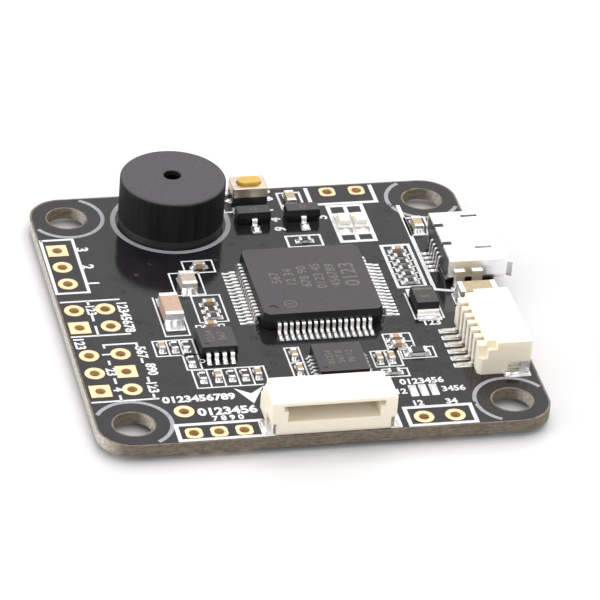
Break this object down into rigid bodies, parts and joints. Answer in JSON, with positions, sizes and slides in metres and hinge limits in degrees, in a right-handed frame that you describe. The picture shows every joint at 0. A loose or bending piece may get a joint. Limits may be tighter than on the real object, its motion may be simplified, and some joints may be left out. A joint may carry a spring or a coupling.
{
  "type": "flight controller board",
  "caption": "Square black circuit board that steers a multirotor: processor, motion sensor, round buzzer, USB and wire sockets, plated wire holes and boot button, with corner mounting holes.",
  "frame": {"origin": "centre of the four mounting holes, on the board's top face", "axes": "+Z out of the top face, +X towards the USB socket's edge, +Y towards the buzzer's edge"},
  "size_m": [0.0376, 0.0364, 0.0059],
  "materials": {
    "board": "glossy black solder mask over tan glass-epoxy board",
    "gold_plate": "thin gold plating, satin",
    "solder": "bright tin solder",
    "buzzer_plastic": "matt fine-grained black plastic",
    "black_plastic": "black moulded plastic",
    "magnet": "dark sintered ferrite",
    "soft_iron": "plated iron",
    "copper_wire": "enamelled copper winding",
    "steel_sheet": "thin bright steel sheet",
    "chip_plastic": "fine-grained black epoxy moulding",
    "tinned_lead": "matt tin plating",
    "tinned_end": "tinned metal end",
    "button_cover": "satin metal cover",
    "button_yellow": "yellow moulded plastic",
    "steel_shell": "bright nickel-plated steel",
    "ivory_nylon": "ivory moulded nylon",
    "ceramic_pink": "pink-brown fired ceramic",
    "ceramic_grey": "grey-beige fired ceramic",
    "ceramic_beige": "beige fired ceramic",
    "ceramic_brown": "tan-brown fired ceramic",
    "resistor_black": "black glazed top on white ceramic",
    "lamp_white": "white board material",
    "lamp_lens": "milky clear resin, faint yellow"
  },
  "bodies": {
    "board": {"button_base": "black_plastic", "button_cover": "button_cover", "button_dome": "steel_sheet", "button_leads": "tinned_lead", "buzzer_base": "black_plastic", "buzzer_case": "buzzer_plastic", "buzzer_coil": "copper_wire", "buzzer_core": "soft_iron", "buzzer_magnet": "magnet", "buzzer_pins": "solder", "buzzer_spacer": "black_plastic", "bypass_capacitor_bodies": "ceramic_beige", "bypass_capacitor_ends": "tinned_end", "circuit_board": "board", "crystal_base": "ceramic_beige", "crystal_lid": "steel_sheet", "diode_body": "chip_plastic", "diode_leads": "tinned_lead", "eight_pin_contacts": "tinned_lead", "eight_pin_housing": "ivory_nylon", "eight_pin_tabs": "tinned_lead", "input_capacitor_body": "ceramic_beige", "input_capacitor_ends": "tinned_end", "jumper_pads": "solder", "lamp_bases": "lamp_white", "lamp_lenses": "lamp_lens", "lamp_terminals": "tinned_lead", "large_capacitor_body": "ceramic_pink", "large_capacitor_ends": "tinned_end", "medium_capacitor_body": "ceramic_grey", "medium_capacitor_ends": "tinned_end", "memory_chip_body": "chip_plastic", "memory_chip_terminals": "tinned_lead", "motion_sensor_body": "chip_plastic", "motion_sensor_terminals": "tinned_lead", "plated_holes": "gold_plate", "processor_body": "chip_plastic", "processor_leads": "tinned_lead", "regulator_body": "chip_plastic", "regulator_leads": "tinned_lead", "resistor_bodies": "resistor_black", "resistor_ends": "tinned_end", "six_pin_contacts": "tinned_lead", "six_pin_housing": "ivory_nylon", "six_pin_tabs": "tinned_lead", "small_capacitor_bodies": "ceramic_brown", "small_capacitor_ends": "tinned_end", "transistor_bodies": "chip_plastic", "transistor_leads": "tinned_lead", "under_capacitor_bodies": "ceramic_brown", "under_capacitor_ends": "tinned_end", "under_resistor_bodies": "resistor_black", "under_resistor_ends": "tinned_end", "usb_contacts": "gold_plate", "usb_shell": "steel_shell", "usb_tongue": "black_plastic"},
    "button": {"button_plunger": "button_yellow"},
    "diaphragm": {"buzzer_diaphragm": "steel_sheet"}
  },
  "joints": [
    {"name": "button_press", "type": "slide", "parent": "board", "child": "button", "axis": [0, 0, -1], "range_m": [0, 0.0002], "stiffness_N_per_m": 2000},
    {"name": "diaphragm_beat", "type": "slide", "parent": "board", "child": "diaphragm", "axis": [0, 0, 1], "range_m": [-0.0001, 0.0001], "stiffness_N_per_m": 2000}
  ]
}
